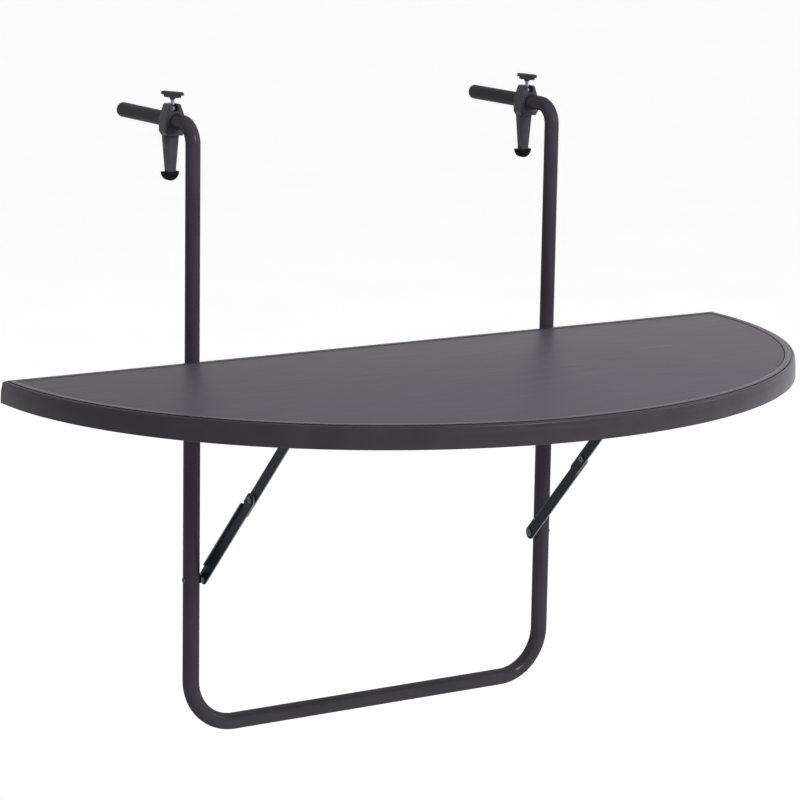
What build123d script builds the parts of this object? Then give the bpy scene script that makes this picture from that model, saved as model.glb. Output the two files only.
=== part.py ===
from build123d import *
import math
import os

# Half-round table that hangs on a balcony handrail: hooked frame, folding top, folding braces, rail clamps.
# Millimetres. +X runs along the handrail, +Y goes over it, -Y is the user's side, +Z is up.
# Origin: halfway between the hooks, level with the arms' undersides, in the plane of the uprights' backs.

# Hanging frame: a lower U of tube, with a hook tube plugged into each of its tops
upright_spacing = 500.0
frame_tube_d = 20.0
frame_tube_wall = 1.0
frame_bend_r = 58.0
hook_tube_d = 17.5
hook_tube_wall = 1.2
hook_bend_r = 24.0
hook_insert = 60.0
arm_reach = 170.5
arm_rise = 272.0
bar_drop = 445.0
tube_joint_drop = 12.0
plug_rim = 2.5
plug_stem = 12.0

# Table top: a board in a moulded edge profile
table_width = 1000.0
table_depth = 474.5
table_straight = 16.0
back_gap = 12.0
rim_height = 26.5
rim_draft = 1.5
rim_round = 3.0
rim_wall = 2.5
rim_land = 13.5
rim_land_thickness = 3.0
ledge_reach = 26.0
ledge_thickness = 2.5
panel_recess = 1.0
panel_thickness = 12.0
panel_gap = 0.8

# Hinge and folding braces
hinge_drop = 40.0
lower_pivot_drop = 263.5
pivot_stagger = 13.0
link_thickness = 2.0
lower_link_width = 16.5
upper_link_width = 15.0
pivot_spacer = 5.5
flange_depth = 3.0
flange_from_pivot = 16.0
flange_from_knuckle = 18.5
notch_from_knuckle = 8.2
notch_length = 9.8
notch_depth = 2.0
tail = 30.0
tab_from_knuckle = 11.2
tab_length = 2.6

# Support rails under the board
rail_thickness = 2.0
rail_flange = 22.0
rail_overrun = 45.0
rail_web = 15.0
rail_lip = 9.0
ear_r = 9.0
ear_flare = 7.0
rail_screws = 4
rail_screw_d = 4.0
rail_screw_bite = 8.0
rail_screw_margin = 14.0

# Fasteners
bolt_d = 6.0
bolt_head_d = 11.0
bolt_head = 3.0
nut_flats = 10.0
nut_height = 5.0
bolt_end = 2.0
bush_wall = 3.0
rivet_head_d = 9.0
rivet_head = 2.1
outer_head_d = 7.5
outer_head = 1.1
flush_head = 0.9
screw_head_d = 8.0
screw_head = 2.6

# Rail clamps: a collar with a leg on each arm, held by a thumb screw
clamp_reach = {"left": 49.5, "right": 55.5}
block_depth = 17.0
block_width = 26.5
block_top_width = 14.0
block_top = 19.4
block_shoulder = 3.0
block_waist = 12.5
block_bottom = 17.5
block_round = 2.4
block_chamfer = 1.8
collar_wall = 1.8
collar_proud = 1.5
leg_thickness = 7.0
leg_top_width = 20.0
leg_neck_width = 11.0
leg_drop = 60.0
foot_r = 10.5
foot_wall = 1.5
foot_socket = 5.0
clamp_screw_d = 5.0
clamp_nut_flats = 8.0
clamp_nut_height = 4.0
screw_lift = 2.0
pad_d = 6.6
pad_thickness = 1.4
pad_socket = 0.9
spigot_d = 3.0
shank_free = 7.0
knob_length = 31.0
knob_width = 8.5
knob_bar = 4.2
knob_hub_length = 23.0
knob_hub = 2.9
knob_neck_d = 6.6
knob_neck = 2.0
knob_turn = {"left": -66.0, "right": -79.0}

# Clearances
press_gap = 0.05
running_gap = 0.08
layer_gap = 0.3
slide_gap = 0.3
seat_gap = 0.1

# Places worked out from the sizes above
frame_r = frame_tube_d / 2
hook_r = hook_tube_d / 2
bolt_r = bolt_d / 2
upright_x = upright_spacing / 2
upright_y = -hook_r
arm_z = hook_r
top_z = arm_z - arm_rise
bar_z = top_z - bar_drop
frame_top_z = top_z - tube_joint_drop
back_y = upright_y - back_gap
rim_low_z = top_z - rim_height
land_low_z = top_z - rim_land_thickness
panel_top_z = top_z - panel_recess
panel_low_z = panel_top_z - panel_thickness

hinge_z = top_z - hinge_drop
lower_pivot_z = top_z - lower_pivot_drop
pivot_drop = hinge_z - lower_pivot_z
brace_reach = pivot_drop - pivot_stagger
brace_length = math.hypot(pivot_drop, brace_reach)
lower_length = (brace_length + pivot_stagger) / 2
upper_length = brace_length - lower_length
brace_direction = Vector(0, -brace_reach, pivot_drop).normalized()
knuckle = Vector(0, upright_y, lower_pivot_z) + brace_direction * lower_length
upper_pivot_y = upright_y - brace_reach

# Layers of the hinge and brace on the right side, from the tube inwards
tube_face_x = upright_x - frame_r
lower_link_x = tube_face_x - pivot_spacer
lower_link_in = lower_link_x - link_thickness
upper_link_x = lower_link_in - layer_gap
upper_link_in = upper_link_x - link_thickness
rail_x = upper_link_in - layer_gap
rail_in = rail_x - rail_thickness


# Shared shapes
def rod_x(radius, x_from, x_to, y, z):
    """A plain round bar along X."""
    return Pos((x_from + x_to) / 2, y, z) * Rot(0, 90, 0) * Cylinder(radius, abs(x_to - x_from))


def upright_cylinder(radius, z_low, z_high):
    """A plain round bar along Z, on the Z axis."""
    return Pos(0, 0, (z_low + z_high) / 2) * Cylinder(radius, z_high - z_low)


def head_x(diameter, height, x_seat, outward, y, z):
    """A low round head seated at x_seat, its crown pointing along X in the outward sense."""
    head = upright_cylinder(diameter / 2, 0, height)
    head = fillet(head.edges().sort_by(Axis.Z)[-1], 0.7 * height)
    return Pos(x_seat, y, z) * Rot(0, 90 * outward, 0) * head


def hexagon(flats, height, bore_r):
    """A hexagon nut standing on the XY plane, with two of its flats facing X."""
    nut = extrude(RegularPolygon(flats / 2, 6, major_radius=False, rotation=30), height)
    return nut - upright_cylinder(bore_r, -1, height + 1)


def bush_x(bore_r, x_from, x_to, y, z):
    """A plain spacer bush along X."""
    return rod_x(bore_r + bush_wall, x_from, x_to, y, z) - rod_x(bore_r, x_from - 1, x_to + 1, y, z)


def bent_tube(points, bend_r, diameter, wall):
    """A round tube along straight runs joined by bends of one radius."""
    path = FilletPolyline(*points, radius=bend_r)
    start = Plane(origin=path @ 0, z_dir=path % 0)
    outside = sweep(start * Circle(diameter / 2), path=path)
    inside = sweep(start * Circle(diameter / 2 - wall), path=path)
    return outside - inside


# Hanging frame
def frame_tube():
    """The lower U: two uprights and the bottom bar, cross-drilled for the hinge and brace bolts."""
    tube = bent_tube(
        [
            (-upright_x, upright_y, frame_top_z),
            (-upright_x, upright_y, bar_z),
            (upright_x, upright_y, bar_z),
            (upright_x, upright_y, frame_top_z),
        ],
        frame_bend_r,
        frame_tube_d,
        frame_tube_wall,
    )
    for z in (hinge_z, lower_pivot_z):
        for side in (-1, 1):
            middle = side * upright_x
            tube -= rod_x(bolt_r + press_gap, middle - frame_tube_d, middle + frame_tube_d, upright_y, z)
    return tube


def hook_tube():
    """One hook: it stands in the top of the U, bends back and reaches over the handrail."""
    tube = bent_tube(
        [
            (upright_x, upright_y, frame_top_z - hook_insert),
            (upright_x, upright_y, arm_z),
            (upright_x, upright_y + arm_reach, arm_z),
        ],
        hook_bend_r,
        hook_tube_d,
        hook_tube_wall,
    )
    hole_from = upright_x - frame_tube_d
    hole_to = upright_x + frame_tube_d
    return tube - rod_x(bolt_r + press_gap, hole_from, hole_to, upright_y, hinge_z)


def arm_plug():
    """The plastic plug that closes the end of an arm."""
    rim = fillet(upright_cylinder(hook_r, 0, plug_rim).edges().sort_by(Axis.Z)[-1], 0.6 * plug_rim)
    stem = upright_cylinder(hook_r - hook_tube_wall - seat_gap, -plug_stem, 0)
    return Pos(upright_x, upright_y + arm_reach, arm_z) * Rot(-90, 0, 0) * (rim + stem)


# Hinge and lower pivot hardware, fixed to the frame
def hinge_bolt():
    """The bolt that pins a hook into the U and carries a support rail's rear ear."""
    outer_face = upright_x + frame_r
    inner_end = rail_in - seat_gap - nut_height - bolt_end
    bolt = rod_x(bolt_r, inner_end, outer_face, upright_y, hinge_z)
    return bolt + head_x(bolt_head_d, bolt_head, outer_face, 1, upright_y, hinge_z)


def hinge_bush():
    """The spacer between the upright and the rail's ear."""
    return bush_x(bolt_r + press_gap, rail_x + seat_gap, tube_face_x, upright_y, hinge_z)


def hinge_nut():
    """The nut that keeps the ear on the hinge bolt."""
    nut = hexagon(nut_flats, nut_height, bolt_r + press_gap)
    return Pos(rail_in - seat_gap, upright_y, hinge_z) * Rot(0, -90, 0) * nut


def lower_pivot_rivet():
    """The rivet through the upright on which the lower link turns."""
    outer_face = upright_x + frame_r
    inner_face = lower_link_in - seat_gap
    rivet = rod_x(bolt_r, inner_face, outer_face, upright_y, lower_pivot_z)
    rivet += head_x(outer_head_d, outer_head, outer_face, 1, upright_y, lower_pivot_z)
    return rivet + head_x(rivet_head_d, rivet_head - seat_gap, inner_face, -1, upright_y, lower_pivot_z)


def lower_pivot_bush():
    """The spacer between the upright and the lower link."""
    return bush_x(bolt_r + press_gap, lower_link_x + seat_gap, tube_face_x, upright_y, lower_pivot_z)


# Folding brace
def link_plane(x, y, z):
    """Sketch plane of a link: u along the brace, v towards the hinge, normal pointing to the middle."""
    return Plane(origin=(x, y, z), x_dir=brace_direction, z_dir=(-1, 0, 0))


def lower_link():
    """The lower strip, with a stiffening flange on its inner edge and the notch that takes the stop tab."""
    plane = link_plane(lower_link_x, upright_y, lower_pivot_z)
    strip = Pos(lower_length / 2, 0) * SlotCenterToCenter(lower_length, lower_link_width)
    strip -= Circle(bolt_r + running_gap)
    strip -= Pos(lower_length, 0) * Circle(bolt_r + press_gap)
    notch_u = lower_length - notch_from_knuckle - notch_length / 2
    strip -= Pos(notch_u, lower_link_width / 2) * Rectangle(notch_length, 2 * notch_depth)
    flange_length = lower_length - flange_from_pivot - flange_from_knuckle
    flange_u = flange_from_pivot + flange_length / 2
    flange_v = (lower_link_width - link_thickness) / 2
    flange = Pos(flange_u, flange_v, (link_thickness - flange_depth) / 2)
    flange = flange * Box(flange_length, link_thickness, link_thickness + flange_depth)
    return extrude(plane * strip, link_thickness) + plane.location * flange


def upper_link():
    """The upper strip: its tail runs on past the knuckle, with a tab that stops the brace when straight."""
    plane = link_plane(upper_link_x, knuckle.Y, knuckle.Z)
    tab_outer = lower_link_width / 2 - notch_depth + slide_gap + link_thickness
    tab_u = -tab_from_knuckle - tab_length / 2
    tail_u = upper_link_width / 2 - tail
    strip = Pos((upper_length + tail_u) / 2, 0) * SlotCenterToCenter(upper_length - tail_u, upper_link_width)
    strip += Pos(tab_u, tab_outer / 2) * Rectangle(tab_length, tab_outer)
    strip -= Circle(bolt_r + press_gap)
    strip -= Pos(upper_length, 0) * Circle(bolt_r + running_gap)
    flush_seat = upright_cylinder(rivet_head_d / 2 + running_gap, -1, flush_head + running_gap)
    tab_height = link_thickness + layer_gap + link_thickness
    tab = Pos(tab_u, tab_outer - link_thickness / 2, link_thickness - tab_height / 2)
    tab = tab * Box(tab_length, link_thickness, tab_height)
    body = extrude(plane * strip, link_thickness) + plane.location * tab
    return body - plane.location * Pos(upper_length, 0, 0) * flush_seat


def knuckle_outer():
    """The half of the knuckle rivet that is set in the lower link."""
    stem = rod_x(bolt_r, lower_link_in, lower_link_x, knuckle.Y, knuckle.Z)
    return stem + head_x(rivet_head_d, rivet_head, lower_link_x, 1, knuckle.Y, knuckle.Z)


def knuckle_inner():
    """The half of the knuckle rivet that is set in the upper link."""
    stem = rod_x(bolt_r, upper_link_in, upper_link_x, knuckle.Y, knuckle.Z)
    return stem + head_x(rivet_head_d, rivet_head, upper_link_in, -1, knuckle.Y, knuckle.Z)


# Table top
def half_ellipse(inset, z):
    """The top's outline, drawn in by the inset: half an ellipse, short straight ends, a straight back."""
    half = table_width / 2 - inset
    front = Ellipse(half, table_depth - table_straight - inset)
    front = front & Pos(0, -table_depth / 2) * Rectangle(table_width, table_depth)
    ends = Pos(0, table_straight / 2) * Rectangle(2 * half, table_straight)
    keep = Pos(0, table_straight - inset - table_depth / 2) * Rectangle(table_width, table_depth)
    return Pos(0, back_y - table_straight, z) * ((front + ends) & keep)


def half_slab(inset, z_low, z_high):
    """A flat plate of that outline."""
    return extrude(half_ellipse(inset, z_low), z_high - z_low)


def edge_profile():
    """The whole edge profile: apron, rounded land, inner wall and the ledge under the board."""
    outside = loft([half_ellipse(0, rim_low_z), half_ellipse(rim_draft, top_z)])
    outside = fillet(outside.edges().group_by(Axis.Z)[-1], rim_round)
    ledge_low_z = panel_low_z - ledge_thickness
    shell = outside - half_slab(rim_draft + rim_wall, rim_low_z - 1, land_low_z)
    shell -= half_slab(rim_land, rim_low_z - 1, top_z + 1)
    holder = half_slab(rim_land - rim_wall, ledge_low_z, land_low_z)
    holder -= half_slab(rim_land, panel_low_z, land_low_z + 1)
    holder -= half_slab(ledge_reach, ledge_low_z - 1, panel_low_z + 1)
    return shell + holder


def mitre_wedge():
    """The space behind the two mitre cuts at the back corners."""
    run = 2 * ledge_reach
    half = table_width / 2 + run
    outline = Polygon((2 * run - half, -run), (half - 2 * run, -run), (half, run), (-half, run), align=None)
    return extrude(Pos(0, back_y, rim_low_z - 1) * outline, rim_height + 2)


def rail_screw_places():
    """Plan positions of one support rail's screws, along the middle of its flange."""
    first = neck_u + rail_screw_margin
    last = brace_reach + rail_overrun - rail_screw_margin
    step = (last - first) / (rail_screws - 1)
    return [(rail_x - rail_flange / 2, upright_y - first - step * i) for i in range(rail_screws)]


def table_panel():
    """The board: it lies on the profile's ledge and takes the support rails' screws from below."""
    board = half_slab(rim_land + panel_gap, panel_low_z, panel_top_z)
    hole_r = rail_screw_d / 2 + press_gap
    hole = upright_cylinder(hole_r, panel_low_z - 1, panel_low_z + rail_screw_bite + seat_gap)
    for x, y in rail_screw_places():
        board -= Pos(x, y, 0) * hole
        board -= Pos(-x, y, 0) * hole
    return board


# Support rails
neck_u = back_gap + ledge_reach + 1
underside_v = panel_low_z - hinge_z
web_v = underside_v - rail_web


def support_rail():
    """An angle under the board: its rear ear hangs on the hinge, its front ear carries the brace."""
    plane = Plane(origin=(rail_x, upright_y, hinge_z), x_dir=(0, -1, 0), z_dir=(-1, 0, 0))
    end_u = brace_reach + rail_overrun
    web = Polygon(
        (0, -ear_r),
        (neck_u - ear_r, -ear_r),
        (neck_u + ear_flare / 2, web_v),
        (brace_reach - ear_r - ear_flare, web_v),
        (brace_reach - ear_r, 0),
        (brace_reach + ear_r, 0),
        (brace_reach + ear_r + ear_flare, web_v),
        (end_u, underside_v - rail_lip),
        (end_u, underside_v),
        (neck_u, underside_v),
        (neck_u, ear_r),
        (0, ear_r),
        align=None,
    )
    web += Circle(ear_r)
    web += Pos(brace_reach, 0) * Circle(ear_r)
    web -= Circle(bolt_r + running_gap)
    web -= Pos(brace_reach, 0) * Circle(bolt_r + press_gap)
    flange = Pos((neck_u + end_u) / 2, underside_v - rail_thickness / 2, rail_flange / 2)
    flange = flange * Box(end_u - neck_u, rail_thickness, rail_flange)
    rail = extrude(plane * web, rail_thickness) + plane.location * flange
    hole = upright_cylinder(rail_screw_d / 2 + seat_gap, panel_low_z - rail_thickness - 1, panel_low_z + 1)
    for x, y in rail_screw_places():
        rail -= Pos(x, y, 0) * hole
    return rail


def rail_screw_group():
    """The screws that hold one support rail to the board."""
    seat_z = panel_low_z - rail_thickness
    shank = upright_cylinder(rail_screw_d / 2, seat_z, panel_low_z + rail_screw_bite)
    head = upright_cylinder(screw_head_d / 2, seat_z - screw_head, seat_z)
    head = fillet(head.edges().sort_by(Axis.Z)[0], 0.6 * screw_head)
    return Compound([Pos(x, y, 0) * (shank + head) for x, y in rail_screw_places()])


def upper_pivot_rivet():
    """The rivet that joins the upper link to the rail's front ear, flush on the link's side."""
    rivet = rod_x(bolt_r, rail_in, upper_link_x, upper_pivot_y, hinge_z)
    rivet += rod_x(rivet_head_d / 2, upper_link_x - flush_head, upper_link_x, upper_pivot_y, hinge_z)
    return rivet + head_x(rivet_head_d, rivet_head, rail_in, -1, upper_pivot_y, hinge_z)


# Rail clamps, drawn about the point where the thumb screw's axis crosses the arm's axis
pad_low = hook_r + press_gap
pad_high = pad_low + pad_thickness
nut_low = pad_high + screw_lift + layer_gap
knob_low = block_top + shank_free
leg_back = block_depth / 2
leg_front = leg_back - leg_thickness
foot_z = -leg_drop


def profile_y(outline, y_from, y_to):
    """A solid with an outline in the XZ plane, from one depth to another."""
    return Pos(0, y_to, 0) * extrude(Plane.XZ * outline, y_to - y_from)


def clamp_jaw():
    """The moulded collar on the arm, its leg behind the handrail and the slot of the captive nut."""
    half = block_width / 2
    block = Polygon(
        (-block_top_width / 2, block_top),
        (-half, block_shoulder),
        (-half, -block_waist),
        (-leg_top_width / 2, -block_bottom),
        (leg_top_width / 2, -block_bottom),
        (half, -block_waist),
        (half, block_shoulder),
        (block_top_width / 2, block_top),
        align=None,
    )
    body = profile_y(block, -block_depth / 2, block_depth / 2)
    body = fillet(body.edges().filter_by(Axis.Y), block_round)
    body = chamfer(body.edges().group_by(Axis.Y)[0], block_chamfer)
    leg = Polygon(
        (-leg_top_width / 2, -block_waist),
        (-leg_neck_width / 2, foot_z),
        (leg_neck_width / 2, foot_z),
        (leg_top_width / 2, -block_waist),
        align=None,
    )
    body += profile_y(leg, leg_front, leg_back)
    tongue = Pos(0, foot_z - foot_socket / 2) * Rectangle(leg_neck_width, foot_socket)
    body += profile_y(tongue, leg_front + foot_wall, leg_back - foot_wall)
    bore_r = hook_r + slide_gap
    body += profile_y(Circle(bore_r + collar_wall), -block_depth / 2 - collar_proud, 0)
    body -= profile_y(Circle(bore_r), -block_depth, block_depth)
    body -= upright_cylinder(pad_d / 2 + seat_gap, 0, nut_low)
    slot_half = clamp_screw_d / 2 + slide_gap
    slot_low = bore_r + collar_wall + slide_gap
    body -= upright_cylinder(slot_half, nut_low, block_top + 1)
    slot_high = block_top + 1
    slot = Pos(0, (slot_low + slot_high) / 2) * Rectangle(2 * slot_half, slot_high - slot_low)
    body -= profile_y(slot, -block_depth, 0)
    pocket_reach = clamp_nut_flats / math.sqrt(3) + seat_gap
    pocket_height = clamp_nut_height + seat_gap
    pocket = Pos(0, nut_low + pocket_height / 2) * Rectangle(clamp_nut_flats + 2 * seat_gap, pocket_height)
    return body - profile_y(pocket, -block_depth, pocket_reach)


def jaw_foot():
    """The half-round rubber foot pushed over the end of the leg."""
    half_disc = Circle(foot_r) & Pos(0, -foot_r) * Rectangle(2 * foot_r, 2 * foot_r)
    foot = Pos(0, 0, foot_z) * profile_y(half_disc, leg_front, leg_back + foot_wall)
    foot = fillet(foot.edges().filter_by(GeomType.CIRCLE), 0.8 * foot_wall)
    tongue_thickness = leg_thickness - 2 * foot_wall
    socket_depth = foot_socket + seat_gap
    socket = Box(leg_neck_width + 2 * press_gap, tongue_thickness + 2 * press_gap, 2 * socket_depth)
    return foot - Pos(0, (leg_front + leg_back) / 2, foot_z) * socket


def clamp_nut():
    """The captive nut in the collar's slot."""
    return Pos(0, 0, nut_low) * hexagon(clamp_nut_flats, clamp_nut_height, clamp_screw_d / 2 + running_gap)


def clamp_screw():
    """The thumb screw's steel shank, with the spigot that turns in the pressure pad."""
    shank = upright_cylinder(clamp_screw_d / 2, pad_high + press_gap, knob_low + knob_hub)
    return shank + upright_cylinder(spigot_d / 2, pad_high - pad_socket + press_gap, pad_high + press_gap)


def pressure_pad():
    """The nylon pad that the screw presses on the arm."""
    pad = upright_cylinder(pad_d / 2, pad_low, pad_high)
    return pad - upright_cylinder(spigot_d / 2 + running_gap, pad_high - pad_socket, pad_high + 1)


def clamp_knob(turn):
    """The T-shaped knob moulded on the screw's head, with a stepped hub and a short neck."""
    bar = extrude(SlotOverall(knob_length, knob_width), knob_bar)
    bar = fillet(bar.edges().group_by(Axis.Z)[-1], 0.3 * knob_bar)
    hub = extrude(SlotOverall(knob_hub_length, knob_width), knob_hub)
    neck = upright_cylinder(knob_neck_d / 2, -knob_neck, 0)
    bore = upright_cylinder(clamp_screw_d / 2 + press_gap, -knob_neck - 1, knob_hub)
    knob = Pos(0, 0, knob_hub) * bar + hub + neck - bore
    return Pos(0, 0, knob_low) * Rot(0, 0, turn) * knob


# Assembly: the pieces on the right side are mirrored for the left
nodes = {"frame_tube": frame_tube(), "table_panel": table_panel()}
profile = edge_profile()
nodes["front_rim"] = profile - mitre_wedge()
nodes["back_rim"] = profile & mitre_wedge()

paired_pieces = {
    "hook_tube": hook_tube,
    "arm_plug": arm_plug,
    "hinge_bolt": hinge_bolt,
    "hinge_bush": hinge_bush,
    "hinge_nut": hinge_nut,
    "lower_pivot_rivet": lower_pivot_rivet,
    "lower_pivot_bush": lower_pivot_bush,
    "lower_link": lower_link,
    "knuckle_outer": knuckle_outer,
    "upper_link": upper_link,
    "knuckle_inner": knuckle_inner,
    "support_rail": support_rail,
    "rail_screws": rail_screw_group,
    "upper_pivot_rivet": upper_pivot_rivet,
}
for name, make in paired_pieces.items():
    piece = make()
    nodes[name + "_right"] = piece
    nodes[name + "_left"] = mirror(piece, about=Plane.YZ)

for side, sign in (("left", -1), ("right", 1)):
    place = Pos(sign * upright_x, upright_y + clamp_reach[side], arm_z)
    nodes["clamp_jaw_" + side] = place * clamp_jaw()
    nodes["jaw_foot_" + side] = place * jaw_foot()
    nodes["clamp_nut_" + side] = place * clamp_nut()
    nodes["pressure_pad_" + side] = place * pressure_pad()
    nodes["clamp_screw_" + side] = place * clamp_screw()
    nodes["clamp_knob_" + side] = place * clamp_knob(knob_turn[side])

os.makedirs("parts", exist_ok=True)
for name, piece in nodes.items():
    export_step(piece, f"parts/{name}.step")
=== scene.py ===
import math

import bpy
import numpy as np
from mathutils import Matrix, Vector


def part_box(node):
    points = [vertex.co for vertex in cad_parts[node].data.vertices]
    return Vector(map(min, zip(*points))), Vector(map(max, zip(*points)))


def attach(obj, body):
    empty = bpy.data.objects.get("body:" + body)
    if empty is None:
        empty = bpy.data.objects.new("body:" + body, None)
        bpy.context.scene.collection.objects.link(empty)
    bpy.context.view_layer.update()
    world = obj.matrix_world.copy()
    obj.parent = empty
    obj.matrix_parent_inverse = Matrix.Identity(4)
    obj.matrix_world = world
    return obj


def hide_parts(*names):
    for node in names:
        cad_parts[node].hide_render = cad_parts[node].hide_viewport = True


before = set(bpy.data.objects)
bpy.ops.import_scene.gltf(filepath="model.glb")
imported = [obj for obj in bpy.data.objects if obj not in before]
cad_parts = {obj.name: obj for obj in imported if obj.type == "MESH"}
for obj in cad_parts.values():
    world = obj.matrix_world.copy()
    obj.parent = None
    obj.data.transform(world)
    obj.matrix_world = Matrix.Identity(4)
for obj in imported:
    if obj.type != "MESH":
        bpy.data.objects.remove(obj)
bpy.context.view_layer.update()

# The lower U of the hanging frame: one length of round steel tube, bent twice and powder-coated dark grey.
# It hangs from the two hooks, its bottom bar leans on the railing, and its open tops take the hooks' ends.
mm = 0.001
frame_wall = 1.0 * mm
frame_bend = 58 * mm
bend_flattening = 0.03
tube_chamfer = 0.3 * mm
crease_angle = math.radians(38)
frame_low, frame_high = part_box("frame_tube")
frame_radius = (frame_high.y - frame_low.y) / 2
upright_x = frame_high.x - frame_radius
upright_y = (frame_low.y + frame_high.y) / 2
frame_top_z = frame_high.z
bar_z = frame_low.z + frame_radius


def surface(name, *grids, closed_rows=False, closed_columns=False, capped=False):
    """A mesh from grids of points: every cell of a grid becomes one four-sided face.

    A grid has the shape (rows, columns, 3). A closed direction joins its last line of points to its first,
    and capped closes the first and the last row with one flat face each. The faces are turned outwards,
    which is the way that gives the enclosed volume a positive sign.
    """
    places, faces, first = [], [], 0
    for points in grids:
        rows, columns = points.shape[:2]
        index = np.arange(rows * columns).reshape(rows, columns)
        around = np.vstack((index, index[:1])) if closed_rows else index
        around = np.hstack((around, around[:, :1])) if closed_columns else around
        cells = np.stack((around[:-1, :-1], around[1:, :-1], around[1:, 1:], around[:-1, 1:]), axis=-1)
        cells = cells.reshape(-1, 4)
        flat = points.reshape(-1, 3)
        a, b, c, d = np.moveaxis((flat - flat.mean(axis=0))[cells], 1, 0)
        outwards = 1 if np.sum(a * (np.cross(b, c) + np.cross(c, d))) > 0 else -1
        faces += (first + cells[:, ::outwards]).tolist()
        if capped:
            faces += [(first + index[0, ::outwards]).tolist(), (first + index[-1, ::-outwards]).tolist()]
        places.append(flat)
        first += rows * columns
    mesh = bpy.data.meshes.new(name)
    mesh.from_pydata(np.vstack(places).tolist(), [], faces)
    mesh.shade_smooth()
    mesh.set_sharp_from_angle(angle=crease_angle)
    piece = bpy.data.objects.new(name, mesh)
    bpy.context.scene.collection.objects.link(piece)
    return piece


def bent_run(corners, bend_radius, steps=28):
    """Centre line of a bent tube: straight runs joined by arcs.

    At each inner corner the runs are cut back by radius * tan(half the turn), and the arc between the cuts is
    start + radius * (sin a * incoming + (1 - cos a) * inward). It returns the points, the directions there,
    and a weight that swells from 0 to 1 and back through each bend as a half sine.
    """
    runs = np.diff(corners, axis=0)
    ways = runs / np.linalg.norm(runs, axis=1)[:, None]
    points, directions, swells = [corners[:1]], [ways[:1]], [np.zeros(1)]
    for corner, incoming, outgoing in zip(corners[1:-1], ways[:-1], ways[1:]):
        turn = math.acos(incoming @ outgoing)
        inward = (outgoing - incoming * math.cos(turn)) / math.sin(turn)
        start = corner - bend_radius * math.tan(turn / 2) * incoming
        angle = np.linspace(0, turn, steps)[:, None]
        points.append(start + bend_radius * (np.sin(angle) * incoming + (1 - np.cos(angle)) * inward))
        directions.append(np.cos(angle) * incoming + np.sin(angle) * inward)
        swells.append(np.sin(np.pi * np.linspace(0, 1, steps)))
    points.append(corners[-1:])
    directions.append(ways[-1:])
    swells.append(np.zeros(1))
    return np.vstack(points), np.vstack(directions), np.concatenate(swells)


def bent_tube(name, corners, bend_radius, radius, wall, around=56):
    """A bent tube with a wall: a ring carried along the centre line outside and back again inside.

    A point is centre + r * (across * cos a + inward * (1 - flattening) * sin a), where the flattening swells
    through each bend. The rows go out with r the tube's radius and return with r less the wall, so the ends
    close by themselves, and the outer edge of each end is broken by a chamfer.
    """
    corners = np.array(corners)
    centre, direction, swell = bent_run(corners, bend_radius)
    first, last = tube_chamfer * direction[0], tube_chamfer * direction[-1]
    centre = np.vstack((centre[:1], centre[:1] + first, centre[1:-1], centre[-1:] - last, centre[-1:]))
    direction = np.vstack((direction[:1], direction, direction[-1:]))
    squeeze = 1 - bend_flattening * np.concatenate(([0], swell, [0]))
    across = np.cross(corners[1] - corners[0], corners[2] - corners[1])
    across /= np.linalg.norm(across)
    inward = np.cross(across, direction) * squeeze[:, None]
    angle = np.linspace(0, 2 * np.pi, around, endpoint=False)[:, None]
    ring = across * np.cos(angle) + inward[:, None, :] * np.sin(angle)
    outer = np.full(len(centre), radius)
    outer[[0, -1]] -= tube_chamfer
    outside = centre[:, None, :] + outer[:, None, None] * ring
    inside = centre[:, None, :] + (radius - wall) * ring
    return surface(name, np.concatenate((outside, inside[::-1])), closed_rows=True, closed_columns=True)


def screen_colour(red, green, blue):
    """The shader's linear colour for a colour given as it looks on a screen, from 0 to 255.

    A share v of full brightness becomes v / 12.92 when very dark, and ((v + 0.055) / 1.055) ** 2.4 above.
    """
    value = np.array((red, green, blue)) / 255
    linear = np.where(value <= 0.04045, value / 12.92, ((value + 0.055) / 1.055) ** 2.4)
    return (*linear.tolist(), 1.0)


def start_finish(name, sockets):
    """A new material, with the values that are the same all over set on its shader's own sockets."""
    finish = bpy.data.materials.new(name)
    finish.use_nodes = True
    shader = finish.node_tree.nodes["Principled BSDF"]
    for socket, value in sockets.items():
        shader.inputs[socket].default_value = value
    finish.node_tree.nodes.new("ShaderNodeTexCoord").name = "Place"
    return finish


def grain(finish, waves, detail=2.0, stretch=(1, 1, 1)):
    """Noise on the object's coordinates, in waves per metre, drawn out along an axis by a small stretch."""
    nodes, links = finish.node_tree.nodes, finish.node_tree.links
    mapping = nodes.new("ShaderNodeMapping")
    mapping.inputs["Scale"].default_value = stretch
    noise = nodes.new("ShaderNodeTexNoise")
    noise.inputs["Scale"].default_value = waves
    noise.inputs["Detail"].default_value = detail
    links.new(nodes["Place"].outputs["Object"], mapping.inputs["Vector"])
    links.new(mapping.outputs["Vector"], noise.inputs["Vector"])
    return noise.outputs["Fac"]


def vary(finish, pattern, socket, low, high, spread=0.2):
    """Lets a shader socket run from low to high, numbers or colours, as the pattern crosses its middle."""
    nodes, links = finish.node_tree.nodes, finish.node_tree.links
    ramp = nodes.new("ShaderNodeValToRGB")
    ends = ramp.color_ramp.elements
    ends[0].position, ends[1].position = 0.5 - spread, 0.5 + spread
    ends[0].color = low if isinstance(low, tuple) else (low, low, low, 1)
    ends[1].color = high if isinstance(high, tuple) else (high, high, high, 1)
    links.new(pattern, ramp.inputs["Fac"])
    links.new(ramp.outputs["Color"], nodes["Principled BSDF"].inputs[socket])


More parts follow.
